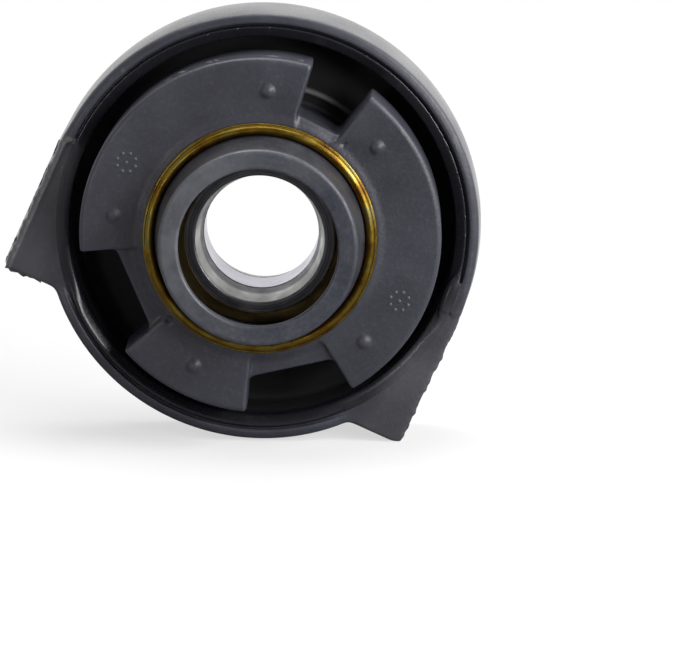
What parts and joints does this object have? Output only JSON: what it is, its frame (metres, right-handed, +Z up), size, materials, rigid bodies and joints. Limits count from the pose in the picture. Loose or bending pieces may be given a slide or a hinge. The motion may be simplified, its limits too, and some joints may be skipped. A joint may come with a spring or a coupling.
{
  "type": "driveshaft centre bearing",
  "caption": "Driveshaft centre bearing: a sealed ball bearing in a plated steel sleeve, carried by a lobed rubber cushion with flat-footed ears.",
  "frame": {"origin": "centre of the bearing's bore", "axes": "bore along Y with the front facing -Y, +Z up through the cushion's single notch, +X to the right"},
  "size_m": [0.1162, 0.055, 0.1152],
  "materials": {
    "rubber": "moulded, satin",
    "zinc": "yellow zinc plate",
    "cap": "moulded, satin",
    "steel": "ground",
    "slinger": "turned, oiled",
    "cage": "pressed sheet",
    "ball": "polished"
  },
  "bodies": {
    "housing": {"cushion_ring": "rubber", "cushion_web": "rubber", "cushion_hub": "rubber", "cushion_lobes": "rubber", "bearing_sleeve": "zinc", "front_dust_seal": "cap", "rear_dust_seal": "cap", "outer_ring": "steel", "front_bearing_seal": "cap", "rear_bearing_seal": "cap"},
    "rotor": {"inner_ring": "steel", "front_slinger": "slinger", "rear_slinger": "slinger"},
    "cage": {"cage_front_half": "cage", "cage_rear_half": "cage", "cage_rivets": "cage", "ball_01": "ball", "ball_02": "ball", "ball_03": "ball", "ball_04": "ball", "ball_05": "ball", "ball_06": "ball", "ball_07": "ball", "ball_08": "ball", "ball_09": "ball", "ball_10": "ball", "ball_11": "ball"}
  },
  "joints": [
    {"name": "inner_spin", "type": "hinge", "parent": "housing", "child": "rotor", "pos_m": [0, 0, 0], "axis": [0, 1, 0], "continuous": true},
    {"name": "cage_orbit", "type": "hinge", "parent": "housing", "child": "cage", "pos_m": [0, 0, 0], "axis": [0, 1, 0], "continuous": true}
  ],
  "couplings": [
    {"joint": "cage_orbit", "follows": "inner_spin", "ratio": 0.416}
  ]
}
